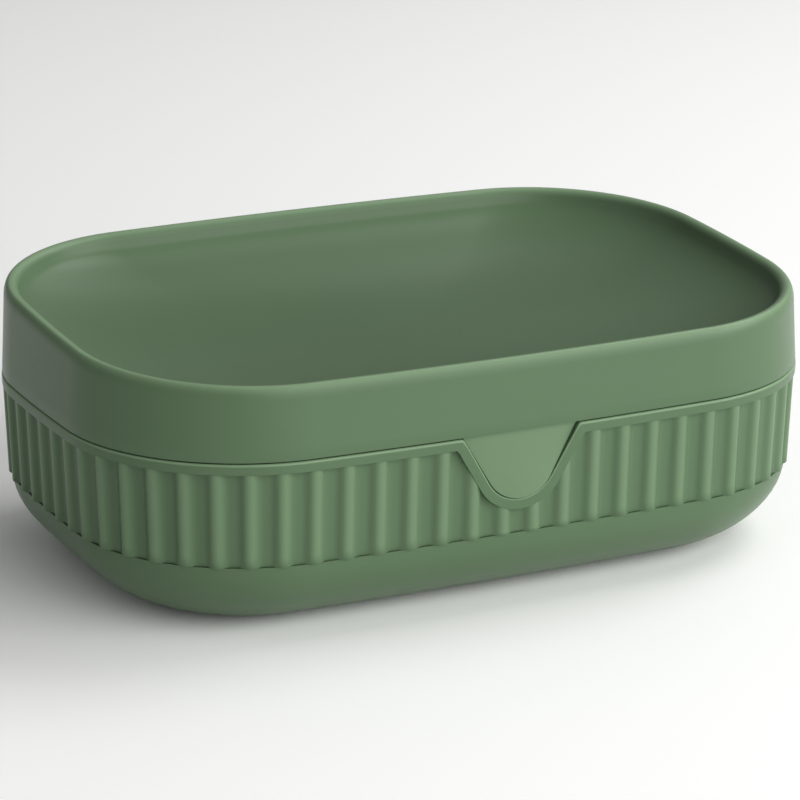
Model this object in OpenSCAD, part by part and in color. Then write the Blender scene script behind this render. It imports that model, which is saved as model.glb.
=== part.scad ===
// Travel soap box: a fluted base, a push-on lid with a dished top and a finger tab,
// and a loose drain tray. The origin is the middle of the foot, on the surface that
// the box stands on. X runs left to right, and the tab is on the -Y side.

/* [Overall] */
// Length over the base's upper edge, left to right
body_l = 118; // [100:1:142]
// Width over the base's upper edge, front to back
body_w = 78.7; // [68:0.1:95]
// Height of the base's upper edge
base_h = 27.2; // [24:0.1:34]
// Height of the lid's rim above the base's upper edge, in the middle of the box
lid_h = 12.8; // [11.5:0.1:18]
// Rise of the lid's rim from front to back, in degrees
rim_slope = 3.1; // [0:0.1:4]

/* [Plan outline] */
// Bow radius of the long front and back sides
side_bow_r = 755; // [400:5:1500]
// Bow radius of the two ends
end_bow_r = 290; // [160:5:700]
// Corner radius
corner_r = 24.5; // [24.2:0.1:29]

/* [Base] */
// Wall thickness of the base, between flutes
wall_t = 2.6; // [2.2:0.1:3.2]
// Draft of the base's wall, in degrees
wall_draft = 2.4; // [1:0.1:5]
// Radius of the base's upper outer edge
edge_r = 0.76; // [0.4:0.02:1]
// Height at which the wall ends and the rounded bottom starts
band_low = 11.6; // [10:0.1:14]
// How far the rounded bottom runs in under the wall
bottom_run = 14.5; // [9:0.5:15]
// Fullness of the rounded bottom: 2 is an ellipse, less is leaner
bottom_full = 1.8; // [1.6:0.02:2.4]
// Width of the ring that the box stands on
foot_w = 3; // [2:0.5:4]
// Depth of the shallow recess inside that ring
foot_recess = 0.4; // [0.2:0.1:0.6]

/* [Flutes] */
// Spacing of the flutes along the outline
flute_pitch = 4.96; // [3.8:0.01:6.5]
// Width of a flute's flat floor
flute_floor = 1; // [0.4:0.1:1.6]
// Width of the flat crest left between two flutes
flute_land = 0.3; // [0.2:0.05:1]
// Depth of a flute
flute_d = 0.55; // [0.3:0.05:0.8]
// Plain border above the flutes and around the notch
border_w = 1.55; // [1.2:0.05:2.5]
// Ledge between the flutes' floors and the rounded bottom
flute_ledge = 0.1; // [0.05:0.01:0.3]

/* [Lid] */
// How far the lid's band stands in from the base's upper edge
lid_set_in = 0.26; // [0.1:0.02:0.6]
// Lean of the lid's band, in degrees
lid_draft = 2.5; // [1:0.1:4]
// Wall thickness of the lid's band
band_t = 2.3; // [2:0.1:2.8]
// Wall thickness of the dish
dish_t = 1.8; // [1.5:0.1:2.2]
// Depth of the dish below the rim
dish_d = 9; // [7:0.5:11]
// Flatness of the dish's floor: higher is flatter, with a steeper side
dish_flat = 3; // [2:0.1:5]
// Fullness of the dish's side: 2 is an ellipse, less is leaner
dish_full = 1.6; // [1.3:0.05:2.2]
// Width of the flat crest between the rim's two rounded edges
crest_w = 0.1; // [0.05:0.05:0.6]
// Radius of the rim's inner edge
rim_in_r = 1.1; // [0.8:0.1:1.6]
// Radius of the rim's outer edge
rim_out_r = 1.6; // [1:0.1:2]

/* [Fit of lid and base] */
// Open line between the two shells, seen from outside
shadow_gap = 0.3; // [0.2:0.05:0.6]
// Clearance between the lid's skirt and the base's inside
skirt_gap = 0.25; // [0.15:0.05:0.5]
// How far the skirt reaches down into the base
skirt_d = 4.8; // [3:0.1:7]
// Thickness of the skirt
skirt_t = 1.5; // [1.2:0.1:2]

/* [Tab and notch] */
// Width of the tab where it leaves the lid
tab_w = 18.4; // [14:0.1:24]
// How far the tab hangs below the base's upper edge
tab_drop = 10.1; // [8:0.1:12]
// Lean of the tab's flanks from upright, in degrees
tab_flank = 30.5; // [24:0.5:36]
// Clearance between the tab and the notch
tab_gap = 0.3; // [0.2:0.05:0.6]
// Thickness of the tab
tab_t = 1.9; // [1.5:0.1:2.2]
// Inset of the tab's face at its top
tab_top_in = 1.3; // [0.8:0.05:1.6]
// Inset of the tab's face at its tip
tab_tip_in = 0.45; // [0.3:0.05:1]

/* [Drain tray] */
// Height of the tray's legs
leg_h = 5; // [4:0.5:7]
// Diameter of a leg
leg_dia = 4.2; // [3:0.1:4.4]
// Thickness of the tray's plate
plate_t = 1.6; // [1.2:0.1:2.2]
// Clearance between the plate and the base's inside
plate_gap = 0.6; // [0.4:0.1:1.2]
// Width of a drain slot
slot_w = 3.4; // [2.6:0.1:3.6]
// Length of a drain slot
slot_l = 15; // [10:0.5:16]
// Spacing of the slots, left to right
slot_pitch = 8; // [7:0.5:10]
// Spacing of the slots' rows, front to back
row_pitch = 19; // [17:0.5:20]
// Plain margin around the field of slots
plate_margin = 8; // [6:0.5:12]
// Radius of the ridges that hold the soap off the plate
ridge_r = 0.9; // [0.6:0.1:1.2]

/* [Hidden] */

shell_green = [0.43, 0.54, 0.41];
tray_green = [0.50, 0.60, 0.48];

// Points along a bow, round a corner and along a curve of a section, and the facets
// of small round features
bow_steps = 6;
corner_steps = 12;
curve_steps = 8;
edge_steps = 5;
flank_steps = 3;
round_fn = 48;
// How far cutters run past what they cut
past = 2;

// Plan outline: eight arcs, each tangent to the next. A side bow's centre lies beyond
// the middle of the box, and a corner's centre lies where both bows, drawn in by the
// corner radius, cross.
half_l = body_l / 2;
half_w = body_w / 2;
side_off = side_bow_r - half_w;
end_off = end_bow_r - half_l;
side_in = side_bow_r - corner_r;
end_in = end_bow_r - corner_r;
bow_span = norm([side_off, end_off]);
along = (side_in^2 - end_in^2 + bow_span^2) / (2 * bow_span);
across = sqrt(side_in^2 - along^2);
corner_x = (across * side_off - along * end_off) / bow_span;
corner_y = (along * side_off + across * end_off) / bow_span - side_off;
end_turn = atan2(corner_y, corner_x + end_off);
side_turn = atan2(corner_y + side_off, corner_x);
corner_turn = side_turn - end_turn;

// Each arc: centre x, centre y, radius, start angle, sweep. The front is first.
arcs = [
    [0, side_off, side_bow_r, 180 + side_turn, 180 - 2 * side_turn],
    [corner_x, -corner_y, corner_r, -side_turn, corner_turn],
    [-end_off, 0, end_bow_r, -end_turn, 2 * end_turn],
    [corner_x, corner_y, corner_r, end_turn, corner_turn],
    [0, -side_off, side_bow_r, side_turn, 180 - 2 * side_turn],
    [-corner_x, corner_y, corner_r, 180 - side_turn, corner_turn],
    [end_off, 0, end_bow_r, 180 - end_turn, 2 * end_turn],
    [-corner_x, -corner_y, corner_r, 180 + end_turn, corner_turn],
];

function arc_length(arc) = arc[2] * arc[4] * PI / 180;

function total(list, i = 0) = i == len(list) ? 0 : list[i] + total(list, i + 1);

// Point on the outline and direction of its normal, s mm on from the front's left end
function spot(s, i = 0) =
    let (arc = arcs[i % len(arcs)])
    s > arc_length(arc) ? spot(s - arc_length(arc), i + 1) :
    let (turn = arc[3] + s / arc[2] * 180 / PI)
    [arc[0] + arc[2] * cos(turn), arc[1] + arc[2] * sin(turn), turn];

// Points of the outline drawn in by an inset, closer together round the corners
function plan_points(inset) = [
    for (arc = arcs)
        let (steps = arc[2] == corner_r ? corner_steps : bow_steps)
            for (i = [0 : steps - 1])
                let (turn = arc[3] + arc[4] * i / steps)
                [arc[0] + (arc[2] - inset) * cos(turn), arc[1] + (arc[2] - inset) * sin(turn)]
];

function arc_points(centre, r, from, to) = [
    for (i = [0 : edge_steps])
        let (turn = from + (to - from) * i / edge_steps)
        centre + r * [cos(turn), sin(turn)]
];

// A quarter of a superellipse that falls from a start point and runs in. Step t goes
// from 0 to 90, and the point stands off the curve by off, to its outer side.
function bowl_point(start, run, fall, full, t, off) =
    let (c = cos(t), s = sin(t), bend = 2 * (full - 1) / full)
    let (slope = [pow(c, bend) / run, -pow(s, bend) / fall])
    start + [-run * (1 - pow(c, 2 / full)), -fall * pow(s, 2 / full)]
        + off * slope / norm(slope);

function bowl_points(start, run, fall, full, off) = [
    for (i = [0 : curve_steps])
        bowl_point(start, run, fall, full, 90 * i / curve_steps, off)
];

function backwards(list) = [for (i = [len(list) - 1 : -1 : 0]) list[i]];

// Base: insets of the wall's face, and of the rounded bottom that starts below it
function wall_in(z) = (base_h - edge_r - z) * tan(wall_draft);

bottom_step = flute_d + flute_ledge;
bottom_t = wall_t - bottom_step;
bottom_start = [-(wall_in(band_low) + bottom_step), band_low];
foot_in = bottom_run - bottom_start[0];
lead_in = 0.5;

// Flutes: an even count at equal spacing, with one in the middle of the front
perimeter = total([for (arc = arcs) arc_length(arc)]);
flute_count = 2 * round(perimeter / flute_pitch / 2);
flute_step = perimeter / flute_count;
flute_half = (flute_step - flute_land) / 2;
flute_side = flute_half - flute_floor / 2;
flute_slope = 2 * atan(flute_d / flute_side);
flute_r = flute_side / (2 * sin(flute_slope));
flute_top = base_h - border_w;

// Lid: the rim's plane rises towards the back, and the band runs up to it
rim_h = base_h + lid_h;
rim_rise = tan(rim_slope);
band_top_in = lid_set_in + (lid_h - shadow_gap) * tan(lid_draft);
band_in = lid_set_in + band_t;
crest_in = band_top_in + rim_out_r + crest_w;
dish_edge = crest_in + rim_in_r;

// The lid rests on the base's upper edge, inside a shoulder, and its skirt runs down
// inside the base from a thickened root
shoulder_in = 1.5;
skirt_low = base_h - skirt_d;
skirt_root = 3;
skirt_out = wall_t + skirt_gap;
skirt_in = wall_in(skirt_low) + skirt_out + skirt_t;

// The dish: how far round the rim's inner edge goes before its curve takes over, in
// degrees, where its innermost ring lies as a share of the way out, and how closely
// its rings crowd towards the edge
rim_in_turn = 75;
middle_share = 0.06;
crowding = 1.6;

// Under the dish: its outer edge, the share of the way out at which its wall leaves the
// band, and how far below the rim the hollow between them starts
under_in = dish_edge - dish_t * tan(30);
under_share = 0.97;
hollow_top = rim_in_r + (dish_d - rim_in_r) * dish_fall(under_share) + dish_t;

// Tab: straight flanks that run into a round tip, with most of the face's curve near it
tab_flare = 1.5;
tip_r = (tab_w / 2 * cos(tab_flank) - tab_drop * sin(tab_flank)) / (1 - sin(tab_flank));
tip_z = base_h - tab_drop + tip_r;

// Drain tray
floor_top = bottom_t;
plate_low = floor_top + leg_h;
plate_top = plate_low + plate_t;
// Inset of the base's inside at the plate, taken a floor's thickness lower so that
// the plate clears the curve along its whole edge
plate_fall = asin(pow((band_low - plate_low + bottom_t) / band_low, bottom_full / 2));
plate_in = plate_gap - bowl_point(bottom_start, bottom_run, band_low, bottom_full,
    plate_fall, -bottom_t)[0];
slot_cols = floor((half_l - plate_in - plate_margin) / slot_pitch);
leg_x = (slot_cols - 0.5) * slot_pitch;
leg_y = row_pitch / 2;
ridge_l = row_pitch + slot_l;

// Ring of points at a height: the outline drawn in by an inset, then shrunk about the
// middle by a share, and tipped up towards the back by a rise
function ring(inset, height, share = 1, rise = 0) = [
    for (p = plan_points(inset))
        [share * p[0], share * p[1], height + rise * share * p[1]]
];

// Closed skin over rings of equal count, the first and the last closed by a flat face
module loft(rings) {
    count = len(rings[0]);
    last = len(rings) - 1;
    sides = [
        for (r = [0 : last - 1])
            for (i = [0 : count - 1])
                let (next = (i + 1) % count)
                [r * count + i, (r + 1) * count + i, (r + 1) * count + next, r * count + next]
    ];
    polyhedron(
        points = [for (r = rings) for (p = r) p],
        faces = concat(
            [[for (i = [0 : count - 1]) i]],
            sides,
            [[for (i = [count - 1 : -1 : 0]) last * count + i]]
        )
    );
}

// The tab's outline seen from the front, grown by a gap, and open upwards
module tab_outline(grow) {
    r = tip_r + grow;
    top = base_h + past;
    tangent_x = r * cos(tab_flank);
    tangent_z = tip_z + r * sin(-tab_flank);
    top_x = tangent_x + (top - tangent_z) * tan(tab_flank);
    translate([0, tip_z])
        circle(r, $fn = round_fn);
    polygon([[-tangent_x, tangent_z], [tangent_x, tangent_z], [top_x, top], [-top_x, top]]);
}

// That outline as a bar through the front wall
module tab_bar(grow) {
    reach = wall_in(base_h - tab_drop) + wall_t + past;
    translate([0, -half_w + reach, 0])
        rotate([90, 0, 0])
            linear_extrude(reach + past)
                tab_outline(grow);
}

// Section of the base as insets and heights, from the middle of the foot, round the
// upper edge and back to the middle of the floor
function base_section() = concat(
    [[-foot_in - foot_w, foot_recess], [-foot_in - foot_w, 0]],
    backwards(bowl_points(bottom_start, bottom_run, band_low, bottom_full, 0)),
    [[-wall_in(band_low), band_low]],
    arc_points([-edge_r, base_h - edge_r], edge_r, 0, 90),
    [[lead_in - wall_t, base_h], [-wall_in(base_h - lead_in) - wall_t, base_h - lead_in]],
    bowl_points(bottom_start, bottom_run, band_low, bottom_full, -bottom_t)
);

// One side of a flute, from its floor over a hollow and a rounded shoulder to the crest
function flute_flank() = concat(
    [
        for (i = [0 : flank_steps])
            let (turn = flute_slope * i / flank_steps)
            [flute_r * (1 - cos(turn)) - flute_d, flute_floor / 2 + flute_r * sin(turn)]
    ],
    [
        for (i = [flank_steps - 1 : -1 : 0])
            let (turn = flute_slope * i / flank_steps)
            [-flute_r * (1 - cos(turn)), flute_half - flute_r * sin(turn)]
    ]
);

// One flute: it leans with the wall and ends at the plain border
module flute(turn) {
    flank = flute_flank();
    rotate(turn)
        translate([-wall_in(flute_top), 0, flute_top])
            rotate([0, wall_draft, 0])
                translate([0, 0, band_low - flute_top - past])
                    linear_extrude(flute_top - band_low + past)
                        polygon(concat(
                            [[past, -flute_half]],
                            [for (p = backwards(flank)) [p[0], -p[1]]],
                            flank,
                            [[past, flute_half]]
                        ));
}

module flutes() {
    difference() {
        for (k = [0 : flute_count - 1]) {
            place = spot(arc_length(arcs[0]) / 2 + k * flute_step);
            translate([place[0], place[1], 0])
                flute(place[2]);
        }
        tab_bar(tab_gap + border_w);
    }
}

module base() {
    color(shell_green)
        difference() {
            loft([for (p = base_section()) ring(-p[0], p[1])]);
            flutes();
            tab_bar(tab_gap);
        }
}

// How deep the dish is at a share of the way out from its middle, as a share of its fall
function dish_fall(share) = pow(1 - pow(share, dish_flat), 1 / dish_full);

// Rings of the dish from its edge in to its middle, off mm below its surface
function dish_rings(edge_in, off, first) = [
    for (i = [0 : curve_steps + 1])
        let (share = first * (1 - (1 - middle_share) * pow(i / (curve_steps + 1), crowding)))
        let (fall = rim_in_r + (dish_d - rim_in_r) * dish_fall(share))
        ring(edge_in, rim_h - fall - off, share, rim_rise)
];

// Rings of the lid from the skirt's foot, up its outside, over the rim and into the dish
function lid_outside() = concat(
    [
        ring(wall_in(skirt_low) + skirt_out + lead_in, skirt_low),
        ring(wall_in(skirt_low + 2 * lead_in) + skirt_out, skirt_low + 2 * lead_in),
        ring(wall_in(base_h) + skirt_out, base_h),
        ring(shoulder_in, base_h),
        ring(shoulder_in, base_h + shadow_gap),
        ring(lid_set_in, base_h + shadow_gap)
    ],
    [
        for (p = arc_points([-band_top_in - rim_out_r, -rim_out_r], rim_out_r, 0, 90))
            ring(-p[0], rim_h + p[1], 1, rim_rise)
    ],
    [
        for (p = arc_points([-crest_in, -rim_in_r], rim_in_r, 90, 90 + rim_in_turn))
            ring(-p[0], rim_h + p[1], 1, rim_rise)
    ],
    dish_rings(dish_edge, 0, 1)
);

// Rings of its inside, from the skirt's foot up to the hollow beside the dish, then
// down under the dish
function lid_inside() = concat(
    [
        ring(skirt_in, skirt_low),
        ring(skirt_in, base_h + skirt_root / 2),
        ring(band_in, base_h + skirt_root),
        ring(band_in, rim_h - hollow_top, 1, rim_rise)
    ],
    dish_rings(under_in, dish_t, under_share)
);

// Section of the tab, with a face that leans back and curves out towards its tip
module tab_section() {
    top = base_h + shadow_gap + past / 2;
    back = tab_t + tab_top_in - half_w;
    face = [
        for (i = [0 : edge_steps])
            let (down = i / edge_steps)
            [tab_top_in + (tab_tip_in - tab_top_in) * pow(down, tab_flare) - half_w,
                base_h - tab_drop * down]
    ];
    polygon(concat(
        [[tab_top_in - half_w, top]],
        face,
        [[back, base_h - tab_drop], [back, top]]
    ));
}

module tab() {
    intersection() {
        rotate([90, 0, 90])
            linear_extrude(2 * tab_w, center = true)
                tab_section();
        tab_bar(0);
    }
}

module lid() {
    color(shell_green)
        union() {
            loft(concat(backwards(lid_inside()), lid_outside()));
            tab();
        }
}

module slot() {
    for (end = [-1, 1])
        translate([0, end * (slot_l - slot_w) / 2])
            circle(d = slot_w, $fn = round_fn);
    square([slot_w, slot_l - slot_w], center = true);
}

module drain_tray() {
    color(tray_green) {
        difference() {
            union() {
                translate([0, 0, plate_low])
                    linear_extrude(plate_t)
                        polygon(plan_points(plate_in));
                for (col = [0.5 - slot_cols : slot_cols - 0.5])
                    translate([col * slot_pitch, ridge_l / 2, plate_top])
                        rotate([90, 0, 0])
                            cylinder(r = ridge_r, h = ridge_l, $fn = round_fn);
            }
            for (col = [-slot_cols : slot_cols])
                for (row = [-1 : 1])
                    translate([col * slot_pitch, row * row_pitch, plate_low - past])
                        linear_extrude(plate_t + 2 * past)
                            slot();
        }
        for (x = [-leg_x, leg_x])
            for (y = [-leg_y, leg_y])
                translate([x, y, floor_top])
                    cylinder(d = leg_dia, h = leg_h, $fn = round_fn);
    }
}

base();
lid();
drain_tray();
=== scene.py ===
from math import atan, atan2, cos, hypot, pi, radians, sin, sqrt, tan

import bpy
from mathutils import Matrix, Vector


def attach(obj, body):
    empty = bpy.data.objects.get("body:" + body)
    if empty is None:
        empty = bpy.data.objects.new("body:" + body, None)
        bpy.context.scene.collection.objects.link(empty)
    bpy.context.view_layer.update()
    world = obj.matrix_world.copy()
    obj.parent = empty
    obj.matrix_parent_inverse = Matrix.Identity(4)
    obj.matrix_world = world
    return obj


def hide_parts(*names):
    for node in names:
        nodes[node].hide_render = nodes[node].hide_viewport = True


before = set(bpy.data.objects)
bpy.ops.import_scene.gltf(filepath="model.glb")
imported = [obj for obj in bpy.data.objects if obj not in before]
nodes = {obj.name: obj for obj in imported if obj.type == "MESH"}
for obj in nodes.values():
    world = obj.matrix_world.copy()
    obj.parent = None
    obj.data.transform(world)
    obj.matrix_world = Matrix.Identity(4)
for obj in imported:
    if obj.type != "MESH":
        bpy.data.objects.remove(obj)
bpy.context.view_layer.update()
mm = 0.001
print("frame loaded:", ", ".join(sorted(nodes)))


# Small helpers

def pick(piece):  # selects one object and nothing else
    bpy.ops.object.select_all(action="DESELECT")
    piece.select_set(True)
    bpy.context.view_layer.objects.active = piece


def linearColour(hexColour):  # sRGB hex to linear RGBA
    parts = [int(hexColour[i:i + 2], 16) / 255 for i in (1, 3, 5)]
    return [c / 12.92 if c <= 0.04045 else ((c + 0.055) / 1.055) ** 2.4 for c in parts] + [1]


def addNode(tree, kind, settings=None, links=None):
    # A shader node with its settings, values and links; a socket goes by its name or number
    node = tree.nodes.new(kind)
    for name, value in (settings or {}).items():
        if isinstance(name, int) or name in node.inputs:
            node.inputs[name].default_value = value
        else:
            setattr(node, name, value)
    for name, source in (links or {}).items():
        tree.links.new(source, node.inputs[name])
    return node


def direction(azimuth, elevation):  # unit vector towards a place round the box, 0 is its front
    a, e = radians(azimuth), radians(elevation)
    return Vector((sin(a) * cos(e), -cos(a) * cos(e), sin(e)))


# Camera at the photograph's angle, looking at the middle of the box

camera = {
    "azimuth": -26.23,
    "elevation": 17.59,
    "distance": 529.2 * mm,
    "aim": Vector((0, 0, 20 * mm)),
    "lens": 156.5,
    "sensor": 36,
    "roll": 0.287,
    "shift": (-0.00175, 0.0056),
    "nearest": 10 * mm,
}


def makeCamera():
    eye = camera["aim"] + camera["distance"] * direction(camera["azimuth"], camera["elevation"])
    look = (camera["aim"] - eye).to_track_quat("-Z", "Y").to_matrix()
    look = look @ Matrix.Rotation(radians(camera["roll"]), 3, "Z")
    bpy.ops.object.camera_add(location=eye, rotation=look.to_euler())
    bpy.context.scene.camera = bpy.context.object
    view = bpy.context.object.data
    view.lens = camera["lens"]
    view.sensor_width = camera["sensor"]
    view.shift_x, view.shift_y = camera["shift"]
    view.clip_start = camera["nearest"]


makeCamera()
print("camera placed")


# Pale floor, pale surroundings and soft lights

studio = {
    "floorSize": 12.0,
    "floorColour": "#FCFCFB",
    "floorRoughness": 0.9,
    "skyColour": "#FFFFFF",
    "skyStrength": 0.2,
    "lights": [  # name, azimuth, elevation, distance, size, watts
        ("keyHighRight", 95, 50, 0.9, 0.5, 2.9),
        ("keyLowRight", 60, 22, 0.9, 0.5, 2.6),
        ("rimBackRight", 130, 40, 0.9, 0.5, 0.7),
        ("fillFront", 20, 15, 0.9, 1.2, 12),
        ("fillLeft", -105, 35, 0.9, 1.0, 0.65),
    ],
}


def makeStudio():
    bpy.ops.mesh.primitive_plane_add(size=studio["floorSize"], location=(0, 0, 0))
    floor = bpy.context.object
    floor.name = "studioFloor"
    paint = bpy.data.materials.new("paleStudioFloor")
    paint.use_nodes = True
    shader = paint.node_tree.nodes["Principled BSDF"]
    shader.inputs["Base Color"].default_value = linearColour(studio["floorColour"])
    shader.inputs["Roughness"].default_value = studio["floorRoughness"]
    floor.data.materials.append(paint)

    world = bpy.data.worlds.new("paleStudio")
    world.use_nodes = True
    sky = world.node_tree.nodes["Background"]
    sky.inputs["Color"].default_value = linearColour(studio["skyColour"])
    sky.inputs["Strength"].default_value = studio["skyStrength"]
    bpy.context.scene.world = world

    for name, azimuth, elevation, distance, size, watts in studio["lights"]:
        place = camera["aim"] + distance * direction(azimuth, elevation)
        turn = (camera["aim"] - place).to_track_quat("-Z", "Y").to_euler()
        bpy.ops.object.light_add(type="AREA", location=place, rotation=turn)
        light = bpy.context.object
        light.name = name
        light.data.shape = "DISK"
        light.data.size = size
        light.data.energy = watts
    bpy.context.scene.view_settings.view_transform = "Standard"


makeStudio()
print("studio placed")


# Injection-moulded polypropylene. To the eye it is satin, faintly grained by the mould and a
# little uneven in tone. Its rims, edges, flute crests and finger tab get a painted highlight.

plastic = {
    "shellColour": "#51674C",
    "trayColour": "#5C7656",
    # paler green of the painted highlights
    "highlightColour": "#8FAB87",
    "highlightShare": 0.5,        # how much of the highlight colour shows where the painted highlight is full
    "ior": 1.49,
    "specular": 0.18,
    "roughness": 0.34,
    "roughnessSwing": 0.05,
    "toneSwing": 0.05,       # how much the tone wanders over the piece
    "cloudSize": 30 * mm,    # size of the patches where it wanders
    "cloudDetail": 3.0,
    "grainSize": 0.35 * mm,  # the mould's grain, coarser than the real 0.05 mm so that it shows
    "grainDetail": 2.0,
    "grainDepth": 0.004 * mm,
}


def makePlastic(name, colour, start):
    # start is the place in the noise, so that no two pieces show the same patches.
    # In a colour Mix node, socket 0 is the share, 6 and 7 are the colours and 2 comes out.
    material = bpy.data.materials.new(name)
    material.use_nodes = True
    tree = material.node_tree
    shader = tree.nodes["Principled BSDF"]
    shader.inputs["IOR"].default_value = plastic["ior"]
    shader.inputs["Specular IOR Level"].default_value = plastic["specular"]
    place = addNode(tree, "ShaderNodeTexCoord").outputs["Object"]
    place = addNode(tree, "ShaderNodeMapping", {"Location": start}, {"Vector": place})
    place = place.outputs["Vector"]

    clouds = addNode(tree, "ShaderNodeTexNoise", {
        "Scale": 1 / plastic["cloudSize"],
        "Detail": plastic["cloudDetail"],
    }, {"Vector": place})
    own = linearColour(colour)[:3]
    tone = addNode(tree, "ShaderNodeMix", {
        "data_type": "RGBA",
        6: [c * (1 - plastic["toneSwing"]) for c in own] + [1],
        7: [c * (1 + plastic["toneSwing"]) for c in own] + [1],
    }, {0: clouds.outputs["Fac"]})
    # Painted highlight: a per-point attribute mixes in the paler highlight colour on the rims, the
    # base's upper edge, the flute crests and the finger tab.
    paintedHighlight = addNode(tree, "ShaderNodeAttribute", {"attribute_name": "paintedHighlight"}).outputs["Fac"]
    edge = addNode(tree, "ShaderNodeMapRange", {"To Max": plastic["highlightShare"]}, {"Value": paintedHighlight})
    highlighted = addNode(tree, "ShaderNodeMix", {
        "data_type": "RGBA",
        7: linearColour(plastic["highlightColour"]),
    }, {0: edge.outputs["Result"], 6: tone.outputs[2]})
    tree.links.new(highlighted.outputs[2], shader.inputs["Base Color"])

    grain = addNode(tree, "ShaderNodeTexNoise", {
        "Scale": 1 / plastic["grainSize"],
        "Detail": plastic["grainDetail"],
    }, {"Vector": place}).outputs["Fac"]
    gloss = addNode(tree, "ShaderNodeMapRange", {
        "To Min": plastic["roughness"] - plastic["roughnessSwing"],
        "To Max": plastic["roughness"] + plastic["roughnessSwing"],
    }, {"Value": grain})
    tree.links.new(gloss.outputs["Result"], shader.inputs["Roughness"])
    bump = addNode(tree, "ShaderNodeBump", {
        "Strength": 1.0,
        "Distance": plastic["grainDepth"],
    }, {"Height": grain})
    tree.links.new(bump.outputs["Normal"], shader.inputs["Normal"])
    return material


shellPlastic = makePlastic("sageMouldedPolypropylene", plastic["shellColour"], (0, 0, 0))
lidPlastic = makePlastic("sageMouldedPolypropyleneLid", plastic["shellColour"], (0.2, 0.1, 0.3))
trayPlastic = makePlastic("paleMouldedPolypropylene", plastic["trayColour"], (0.5, 0.2, 0.1))
print("plastics mixed")


# Outline of the box seen from above: eight arcs, each tangent to the next.
# Lengths from here on are in mm and angles in degrees, but for the tray's.

plan = {
    "length": 118,
    "width": 78.7,
    "sideBow": 708,   # radius of the front and back
    "endBow": 318.7,  # radius of the two ends
    "corner": 28,     # radius of the corners
    "columns": 1120,  # points round the outline, 16 to a flute
    "crease": 32,     # a shell's faces that meet at less than this are shaded as one
}
packedPlan = dict(plan, sideBow=755, endBow=290, corner=24.5)


def planArcs(shape):  # centre, radius, first angle and sweep of each arc, the front first
    halfLength, halfWidth = shape["length"] / 2, shape["width"] / 2
    sideOff, endOff = shape["sideBow"] - halfWidth, shape["endBow"] - halfLength
    sideIn, endIn = shape["sideBow"] - shape["corner"], shape["endBow"] - shape["corner"]
    span = hypot(sideOff, endOff)
    along = (sideIn ** 2 - endIn ** 2 + span ** 2) / (2 * span)
    across = sqrt(sideIn ** 2 - along ** 2)
    cx = (across * sideOff - along * endOff) / span
    cy = (along * sideOff + across * endOff) / span - sideOff
    endTurn, sideTurn = atan2(cy, cx + endOff), atan2(cy + sideOff, cx)
    corner = sideTurn - endTurn
    return [
        (0, sideOff, shape["sideBow"], pi + sideTurn, pi - 2 * sideTurn),
        (cx, -cy, shape["corner"], -sideTurn, corner),
        (-endOff, 0, shape["endBow"], -endTurn, 2 * endTurn),
        (cx, cy, shape["corner"], endTurn, corner),
        (0, -sideOff, shape["sideBow"], sideTurn, pi - 2 * sideTurn),
        (-cx, cy, shape["corner"], pi - sideTurn, corner),
        (endOff, 0, shape["endBow"], pi - endTurn, 2 * endTurn),
        (-cx, -cy, shape["corner"], pi + endTurn, corner),
    ]


def planSpots(arcs, count):
    # Evenly spaced points on the outline from the middle of the front: x, y, normal, way along
    whole = sum(r * sweep for _, _, r, _, sweep in arcs)
    found = []
    for i in range(count):
        way = i * whole / count
        left = (arcs[0][2] * arcs[0][4] / 2 + way) % whole
        for cx, cy, r, start, sweep in arcs:
            if left <= r * sweep:
                turn = start + left / r
                found.append((cx + r * cos(turn), cy + r * sin(turn), cos(turn), sin(turn),
                              way if way < whole / 2 else way - whole))
                break
            left -= r * sweep
    return found, whole


def reach(arcs, turn):  # distance from the middle to the tangent that faces this way
    hair = 1e-9  # where two arcs meet
    for cx, cy, r, start, sweep in arcs:
        if (turn - start) % (2 * pi) <= sweep + hair:
            return cx * cos(turn) + cy * sin(turn) + r


outerArcs, cavityArcs = planArcs(plan), planArcs(packedPlan)
spots, around = planSpots(outerArcs, plan["columns"])

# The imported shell's corners are fuller than the photograph's. The cavity keeps the packed
# outline, so that the tray clears it, and spare is how much further out that lies.
spare = []
for _, _, nx, ny, _ in spots:
    facing = atan2(ny, nx)
    spare.append(reach(cavityArcs, facing) - reach(outerArcs, facing))
print("outline laid out,", round(around, 1), "mm round")


# The two shells are skinned in code, from rows of points that follow the outline: a bevel on
# copies of their CAD nodes tears where the flutes meet the border.

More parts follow.
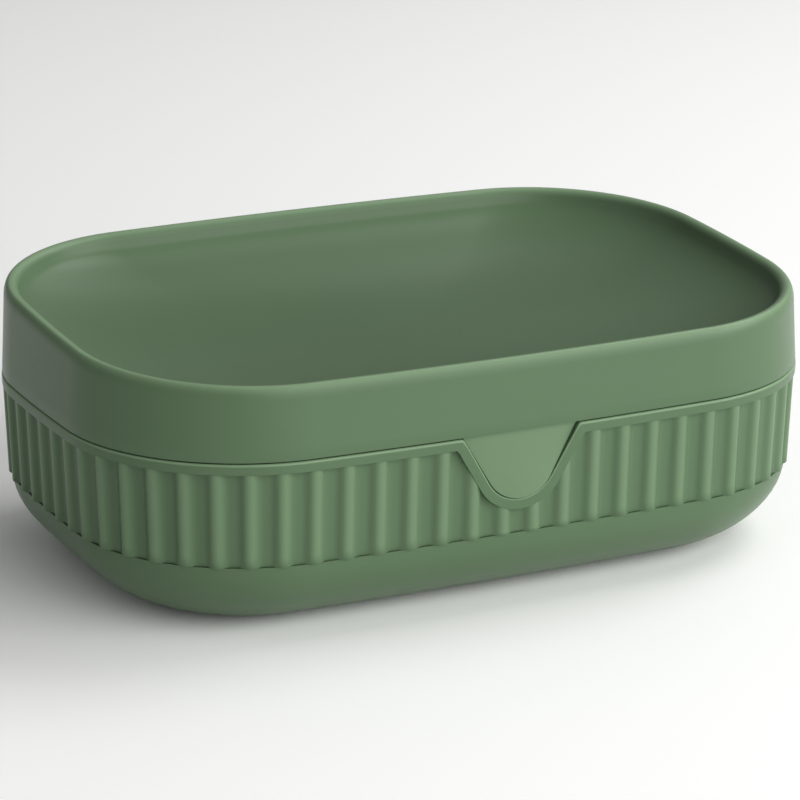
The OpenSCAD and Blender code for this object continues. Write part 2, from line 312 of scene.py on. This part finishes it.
def loftPiece(name, rows, material):
    # A row is (shift along the outline, inset, height, strength of its painted highlight) or gives
    # that for a column.
    # An inset can be (inset, share), which also draws the outline in towards the middle, and a
    # height can be (height, rise), which climbs towards the back. Both ends are closed.
    verts, faces, paintedHighlight = [], [], []
    count = len(spots)
    for row in rows:
        for i, (x, y, nx, ny, _) in enumerate(spots):
            shift, inset, height, *paler = row(i) if callable(row) else row
            inset, share = inset if isinstance(inset, tuple) else (inset, 1)
            height, rise = height if isinstance(height, tuple) else (height, 0)
            px = (x - ny * shift - nx * inset) * share
            py = (y + nx * shift - ny * inset) * share
            verts.append((px * mm, py * mm, (height + rise * py) * mm))
            paintedHighlight.append(paler[0] if paler else 0)
    for r in range(len(rows) - 1):
        for i in range(count):
            j = (i + 1) % count
            faces.append((r * count + i, r * count + j, (r + 1) * count + j, (r + 1) * count + i))
    last = (len(rows) - 1) * count
    faces.append(tuple(range(count - 1, -1, -1)))
    faces.append(tuple(range(last, last + count)))
    mesh = bpy.data.meshes.new(name)
    mesh.from_pydata(verts, [], faces)
    mesh.update()
    mesh.attributes.new("paintedHighlight", "FLOAT", "POINT").data.foreach_set("value", paintedHighlight)
    piece = bpy.data.objects.new(name, mesh)
    bpy.context.collection.objects.link(piece)
    mesh.materials.append(material)
    pick(piece)
    bpy.ops.object.shade_smooth_by_angle(angle=radians(plan["crease"]))
    print(name, len(mesh.polygons), "faces")
    return piece


# Finger tab seen from the front, which the base's notch follows: two flanks and a round tip

tabOutline = {
    "width": 18.4,  # at the base's upper edge
    "drop": 10.1,   # from that edge to the tip
    "flank": 30.5,  # lean of the flanks
}

# Lower shell: a drafted, fluted wall under a plain border, on a rounded bottom with a flat foot

base = {
    "height": 27.2,
    "setIn": 0.33,        # from the outline to the wall, just under the upper edge
    "draft": 2.1,         # lean of the wall
    "wall": 2.6,
    "edge": 0.4,          # rounding of the upper edge outside
    "innerEdge": 0.5,     # and inside
    "edgeSteps": 6,
    "borderWidth": 1.55,
    "borderRows": (0.08, 0.35, 0.7),  # shares of the border's width
    "insideRows": (0.2, 0.5, 0.8),    # shares of the way down the cavity's wall
    "insideSteps": 12,

    "flutes": 70,
    "fluteDepth": 0.8,
    "fluteFloor": 0.7,    # width of a flute's flat floor
    "fluteLedge": 0.1,    # from the border's face back to the crests
    "fluteRows": (0.1, 0.25, 0.4, 0.55, 0.7, 0.85, 0.95, 1),
    "fluteFoot": ((0, 0.16), (0.04, 0.05), (0.14, 0)),    # height, and how much deeper
    "fluteHead": ((0.06, 0.85), (0.02, 0.3), (0, 0)),     # drop under the border, share of depth
    "fluteHeadRoom": 0.12,  # drop under the border where a flute has its full depth
    # painted highlight on a flute's crest, fading to nothing on its floor
    "crestHighlight": 0.4,

    "bandLow": 11.6,      # height where the flutes end and the rounded bottom begins
    "bottomStep": 0.62,   # step in from the wall's face there
    "bottomRun": 14.5,    # from there in to the flat of the bottom
    "bottomFull": 1.8,    # fullness of its curve, where 2 is an ellipse
    "bottomWall": 1.78,
    "bottomSteps": 16,
    "footWidth": 3,
    "footEdge": ((0.5, 0.4), (0.3, 0.37), (0.15, 0.2), (0, 0.03), (-0.2, 0)),  # inset, height

    "notchGap": 0.12,     # round the tab
    "notchCorner": 0.5,   # rounding where the notch meets the upper edge, seen from the front
    "notchEdge": 0.22,    # the upper edge's rounding becomes this in the notch
    "notchBlend": 1.2,    # within this drop
    "notchReach": 16,     # nothing further than this from the middle feels the notch
    "slopeStep": 0.05,    # the edge's slope is measured over twice this
}

flank = radians(tabOutline["flank"])
tipRadius = tabOutline["width"] / 2 * cos(flank) - tabOutline["drop"] * sin(flank)
tipRadius /= 1 - sin(flank)
tipHeight = base["height"] - tabOutline["drop"] + tipRadius  # of the round tip's centre


def outlineHeight(x, grow):  # height of the tab's outline, grown by a gap, x from the middle
    r = tipRadius + grow
    if abs(x) <= r * cos(flank):
        return tipHeight - sqrt(r * r - x * x)
    return tipHeight - r * sin(flank) + (abs(x) - r * cos(flank)) / tan(flank)


def edgeHeight(x):  # upper edge of the base: level, but for the notch, whose corners are rounded
    r, corner = tipRadius + base["notchGap"], base["notchCorner"]
    xTop = r * cos(flank) + (base["height"] - tipHeight + r * sin(flank)) * tan(flank)
    bend = pi / 2 - flank
    t = corner * tan(bend / 2)
    x = abs(x)
    if x >= xTop + t:
        return base["height"]
    if x >= xTop - t * cos(bend):
        return base["height"] - corner + sqrt(max(0, corner ** 2 - (x - xTop - t) ** 2))
    return outlineHeight(x, base["notchGap"])


def wallIn(z):  # inset of the drafted wall at this height
    return base["setIn"] + (base["height"] - base["edge"] - z) * tan(radians(base["draft"]))


def fluteIn(way):  # how deep the fluted face lies here: flat floor, hollow, rounded crest
    pitch = around / base["flutes"]
    depth, half = base["fluteDepth"], (pitch - base["fluteFloor"]) / 4
    r = half / sin(2 * atan(depth / 2 / half))
    u = abs((way + pitch / 2) % pitch - pitch / 2) - base["fluteFloor"] / 2
    if u <= 0:
        return depth
    if u < half:
        return depth - r + sqrt(r * r - u * u)
    if u < 2 * half:
        return r - sqrt(r * r - (2 * half - u) ** 2)
    return 0


def fluteHighlight(way):  # painted highlight: strongest on a crest, nothing on a floor
    return base["crestHighlight"] * (1 - fluteIn(way) / base["fluteDepth"]) ** 2


# For each column: the upper edge's height, its normal along and up, its rounding, and the
# height of the border's lower edge
edges = []
for *_, way in spots:
    if abs(way) < base["notchReach"]:
        high, step = edgeHeight(way), base["slopeStep"]
        slope = (edgeHeight(way + step) - edgeHeight(way - step)) / (2 * step)
        size = hypot(slope, 1)
        share = min(1, max(0, (base["height"] - high) / base["notchBlend"]))
        rounding = base["edge"] + (base["notchEdge"] - base["edge"]) * share
        border = min(base["height"] - base["borderWidth"],
                     outlineHeight(way, base["notchGap"] + base["borderWidth"]))
        edges.append((high, -slope / size, 1 / size, rounding, border))
    else:
        edges.append((base["height"], 0, 1, base["edge"], base["height"] - base["borderWidth"]))


def bowl(t, off):  # inset and height on the rounded bottom, off inside its outer face
    full, run, fall = base["bottomFull"], base["bottomRun"], base["bandLow"]
    start = wallIn(fall) + base["bottomStep"]
    c, s = max(cos(radians(t)), 0), max(sin(radians(t)), 0)
    bend = 2 * (full - 1) / full
    gx, gz = c ** bend / run, s ** bend / fall
    g = hypot(gx, gz)
    return (start + run * (1 - c ** (2 / full)) + off * gx / g,
            fall - fall * s ** (2 / full) + off * gz / g)


def baseRows():  # from the middle of the foot, out, up, over the edge and down into the cavity
    low = base["bandLow"]
    inner = bowl(90, 0)[0] + base["footWidth"]
    rows = [(0, inner + inset, z) for inset, z in base["footEdge"]]
    steps = base["bottomSteps"]
    rows += [(0,) + bowl(90 - 90 * k / steps, 0) for k in range(steps + 1)]

    def fluted(z, sink):
        return lambda i: (0, wallIn(z) + base["fluteLedge"] + fluteIn(spots[i][4]) + sink, z)
    rows += [fluted(low + up, sink) for up, sink in base["fluteFoot"]]
    fluteLow = low + base["fluteFoot"][-1][0]

    def rising(v):
        def at(i):
            way = spots[i][4]
            z = fluteLow + (edges[i][4] - base["fluteHeadRoom"] - fluteLow) * v
            return (0, wallIn(z) + base["fluteLedge"] + fluteIn(way), z, fluteHighlight(way))
        return at
    rows += [rising(v) for v in base["fluteRows"]]

    def endOfFlute(down, share):
        def at(i):
            z = edges[i][4] - down
            return (0, wallIn(z) + (base["fluteLedge"] + fluteIn(spots[i][4])) * share, z)
        return at
    rows += [endOfFlute(down, share) for down, share in base["fluteHead"]]

    def edgePoint(i, turn):  # on the rounded upper edge, its painted highlight strongest in the middle of its curve
        high, nu, nz, r, _ = edges[i]
        back, deep = r * (1 - sin(turn)), r * (1 - cos(turn))
        return (-nu * back, wallIn(high - r * nz) + deep, high - nz * back, sin(2 * turn))

    def bordering(v):
        def at(i):
            shift, _, z, _ = edgePoint(i, 0)
            z = edges[i][4] + (z - edges[i][4]) * v
            return (shift * v, wallIn(z), z)
        return at
    rows += [bordering(v) for v in base["borderRows"]]
    steps = base["edgeSteps"]
    rows += [lambda i, k=k: edgePoint(i, pi / 2 * k / steps) for k in range(steps + 1)]

    def innerEdge(turn):
        def at(i):
            high, nu, nz, _, _ = edges[i]
            r = base["innerEdge"]
            back = r * (1 - sin(turn))
            inset = wallIn(high - r * nz) + base["wall"] - r * (1 - cos(turn))
            return (-nu * back, inset - spare[i], high - nz * back)
        return at
    rows += [innerEdge(pi / 2), innerEdge(pi / 4), innerEdge(0)]

    def inside(v):
        def at(i):
            shift, _, z = innerEdge(0)(i)
            z = z + (low - z) * v
            return (shift * (1 - v), wallIn(z) + base["wall"] - spare[i], z)
        return at
    rows += [inside(v) for v in base["insideRows"]]

    def inBowl(t):
        inset, z = bowl(t, base["bottomWall"])
        return lambda i: (0, inset - spare[i] * (1 - t / 90), z)
    rows += [inBowl(90 * k / base["insideSteps"]) for k in range(base["insideSteps"] + 1)]
    return rows


flutedBase = loftPiece("flutedBase", baseRows(), shellPlastic)


# Upper shell: a dished top inside a narrow rim, a raised band, and a skirt that plugs into the base

lid = {
    "height": 12.75,      # from the base's upper edge to the rim, half way back
    "slope": 3.1,         # the rim climbs towards the back
    "setIn": 0.42,        # from the outline to the band's lower edge
    "draft": 2.5,
    "band": 2.3,          # thickness of the band
    "bandSteps": 5,
    "shadowGap": 0.16,    # between the band and the base
    "seamEdge": ((0.2, 0), (0.05, 0.05), (0, 0.2)),  # rounding of the band there: inset, height

    "crest": 0.1,         # width of the rim's level strip
    "outRound": 0.9,      # width of the rim's outer rounding
    "outFall": 2.1,       # and its height
    "outSteps": 12,
    "outHighlight": 4,         # the higher, the narrower the painted highlight is on that side
    "inRound": 1.4,       # radius of the rim's inner rounding
    "inTurn": 75,         # which turns this far over
    "inSteps": 10,
    "inHighlight": 3,

    "depth": 9,           # of the dish, below the rim
    "flat": 3,            # the higher, the flatter the dish's floor
    "full": 1.6,          # the higher, the steeper its side
    "dishSteps": 30,
    "drawnIn": 0.96,      # the dish's last row is this much smaller than its first
    "crowded": 1.5,       # the higher, the closer its rows are to the rim
    "dish": 1.8,          # thickness of the dished top
    "underOut": 0.6,      # its underside starts this share of that further out
    "underShare": 0.97,   # and stops short of the band
    "underSteps": 10,

    "skirt": 1.5,         # thickness of the skirt
    "skirtGap": 0.25,     # its play in the base
    "skirtDown": 4.8,     # from the base's upper edge to the skirt's lower edge
    "skirtLeadIn": (0.5, 1),       # width and height of the slope outside its lower edge
    "skirtChamfer": (0.2, 0.3),    # and inside
    "skirtRoot": (3, 1.5),         # inside, it slopes in from the band between these heights
    "shoulder": 1.5,      # inset where the lid starts to bear on the base
}


def dishFall(share):  # how far the dish lies below the rim, this share of the way out to it
    deep = lid["depth"] - lid["inRound"]
    return lid["inRound"] + deep * (1 - share ** lid["flat"]) ** (1 / lid["full"])


def lidRows():  # from the middle of the underside, out, round the skirt, up, over the rim and in
    rise = tan(radians(lid["slope"]))
    top, seam = base["height"] + lid["height"], base["height"] + lid["shadowGap"]
    bandIn = lid["setIn"] + lid["band"]
    topIn = lid["setIn"] + (lid["height"] - lid["shadowGap"]) * tan(radians(lid["draft"]))
    crestIn = topIn + lid["outRound"] + lid["crest"]
    dishIn = crestIn + lid["inRound"]

    def dish(edgeIn, off, first, count):
        rows = []
        for k in range(count + 1):
            share = first * (1 - lid["drawnIn"] * (k / count) ** lid["crowded"])
            rows.append((0, (edgeIn, share), (top - dishFall(share) - off, rise)))
        return rows

    underIn = dishIn - lid["underOut"] * lid["dish"]
    rows = dish(underIn, lid["dish"], lid["underShare"], lid["underSteps"])[::-1]
    rows.append((0, bandIn, (top - dishFall(lid["underShare"]) - lid["dish"], rise)))

    low, out = base["height"] - lid["skirtDown"], base["wall"] + lid["skirtGap"]
    skirtIn = wallIn(low) + out + lid["skirt"]
    rootHigh, rootLow = lid["skirtRoot"]
    chamferIn, chamferUp = lid["skirtChamfer"]
    leadIn, leadUp = lid["skirtLeadIn"]
    rows += [(0, bandIn, base["height"] + rootHigh), (0, skirtIn, base["height"] + rootLow),
             (0, skirtIn, low + chamferUp), (0, skirtIn - chamferIn, low),
             (0, wallIn(low) + out + leadIn, low), (0, wallIn(low + leadUp) + out, low + leadUp),
             (0, wallIn(base["height"]) + out, base["height"]),
             (0, lid["shoulder"], base["height"]), (0, lid["shoulder"], seam)]

    rows += [(0, lid["setIn"] + inset, seam + up) for inset, up in lid["seamEdge"]]
    for k in range(1, lid["bandSteps"]):
        v = k / lid["bandSteps"]
        inset = lid["setIn"] + (topIn - lid["setIn"]) * v
        rows.append((0, inset, (seam + (top - lid["outFall"] - seam) * v, rise * v)))
    # The rim's outer and inner roundings carry a painted highlight, strongest on the crest.
    for k in range(lid["outSteps"] + 1):
        a = pi / 2 * k / lid["outSteps"]
        inset, fall = lid["outRound"] * (1 - cos(a)), lid["outFall"] * (1 - sin(a))
        rows.append((0, topIn + inset, (top - fall, rise), sin(a) ** lid["outHighlight"]))
    for k in range(lid["inSteps"] + 1):
        a = radians(lid["inTurn"]) * k / lid["inSteps"]
        inset, fall = lid["inRound"] * sin(a), lid["inRound"] * (1 - cos(a))
        rows.append((0, crestIn + inset, (top - fall, rise), cos(a) ** lid["inHighlight"]))
    rows += dish(dishIn, 0, 1, lid["dishSteps"])[1:]
    return rows


dishedLid = loftPiece("dishedLid", lidRows(), lidPlastic)


# Finger tab: its outline pushed back, bevelled, and cut into rows so that its face can curve

tab = {
    "thickness": 1.9,
    "root": 1,        # how far it reaches up behind the band
    "topIn": 1.2,     # inset of its face at the base's upper edge
    "tipIn": 0.42,    # and at its tip
    "flare": 1.2,     # the higher, the later it curves out
    "edge": 0.12,
    "edgeSteps": 3,
    "tipSteps": 40,
    "cuts": 22,
    "cutStep": 0.5,
    # painted highlight over the whole tab, lightening it evenly
    "paintedHighlight": 0.4,
}


def makeTab():
    top = base["height"] + lid["shadowGap"] + tab["root"]
    side = tipRadius * cos(flank)
    points = [(side + (top - tipHeight + tipRadius * sin(flank)) * tan(flank), top)]
    for k in range(tab["tipSteps"] + 1):
        turn = -flank - (pi - 2 * flank) * k / tab["tipSteps"]
        points.append((tipRadius * cos(turn), tipHeight + tipRadius * sin(turn)))
    points.append((-points[0][0], top))
    mesh = bpy.data.meshes.new("fingerTab")
    mesh.from_pydata([(x * mm, 0, z * mm) for x, z in points], [], [tuple(range(len(points)))])
    piece = bpy.data.objects.new("fingerTab", mesh)
    bpy.context.collection.objects.link(piece)
    mesh.materials.append(lidPlastic)
    pick(piece)
    bpy.ops.object.mode_set(mode="EDIT")
    bpy.ops.mesh.select_all(action="SELECT")
    back = (0, tab["thickness"] * mm, 0)
    bpy.ops.mesh.extrude_region_move(TRANSFORM_OT_translate={"value": back})
    bpy.ops.mesh.select_all(action="SELECT")
    bpy.ops.mesh.normals_make_consistent(inside=False)
    bpy.ops.mesh.bevel(offset=tab["edge"] * mm, segments=tab["edgeSteps"], affect="EDGES",
                       clamp_overlap=True)
    for k in range(1, tab["cuts"] + 1):
        bpy.ops.mesh.select_all(action="SELECT")
        bpy.ops.mesh.bisect(plane_co=(0, 0, (top - tab["cutStep"] * k) * mm), plane_no=(0, 0, 1))
    bpy.ops.object.mode_set(mode="OBJECT")
    for vert in mesh.vertices:
        down = min(1, max(0, (base["height"] - vert.co.z / mm) / tabOutline["drop"]))
        inset = tab["topIn"] + (tab["tipIn"] - tab["topIn"]) * down ** tab["flare"]
        vert.co.y += (inset - plan["width"] / 2) * mm
    # the tab's painted highlight, the same at every point
    paintedHighlight = [tab["paintedHighlight"]] * len(mesh.vertices)
    mesh.attributes.new("paintedHighlight", "FLOAT", "POINT").data.foreach_set("value", paintedHighlight)
    bpy.ops.object.shade_smooth_by_angle(angle=radians(plan["crease"]))
    print("fingerTab", len(mesh.polygons), "faces")
    return piece


fingerTab = makeTab()


# Slotted tray: a copy of its CAD node, merged, cleared of flat seams and rounded along its edges

tray = {
    "merge": 0.002 * mm,
    "flatAngle": 0.4,       # faces that meet at less than this become one
    "sharpAngle": 35,       # edges sharper than this are rounded
    "rounding": 0.25 * mm,
    "roundingSteps": 2,
    "crease": 40,
}


def makeTray():
    pick(nodes["drain_tray"])
    bpy.ops.object.duplicate()
    piece = bpy.context.object
    piece.name = "slottedTray"
    piece.parent = None
    piece.data.materials.clear()
    piece.data.materials.append(trayPlastic)
    bpy.ops.object.mode_set(mode="EDIT")
    bpy.ops.mesh.select_all(action="SELECT")
    bpy.ops.mesh.remove_doubles(threshold=tray["merge"])
    bpy.ops.mesh.customdata_custom_splitnormals_clear()
    bpy.ops.mesh.dissolve_limited(angle_limit=radians(tray["flatAngle"]))
    bpy.ops.object.mode_set(mode="OBJECT")
    bevel = piece.modifiers.new("mouldRounding", "BEVEL")
    bevel.limit_method = "ANGLE"
    bevel.angle_limit = radians(tray["sharpAngle"])
    bevel.width = tray["rounding"]
    bevel.segments = tray["roundingSteps"]
    bpy.ops.object.modifier_apply(modifier=bevel.name)
    bpy.ops.object.shade_smooth_by_angle(angle=radians(tray["crease"]))
    print("slottedTray", len(piece.data.polygons), "faces")
    return piece


slottedTray = makeTray()

for piece, body, slot in (
    (flutedBase, "base", "base_shell"),
    (dishedLid, "lid", "lid_shell"),
    (fingerTab, "lid", "lid_shell"),
    (slottedTray, "tray", "tray_grid"),
):
    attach(piece, body)
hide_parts("base")
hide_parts("lid")
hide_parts("drain_tray")
print("pieces mounted")
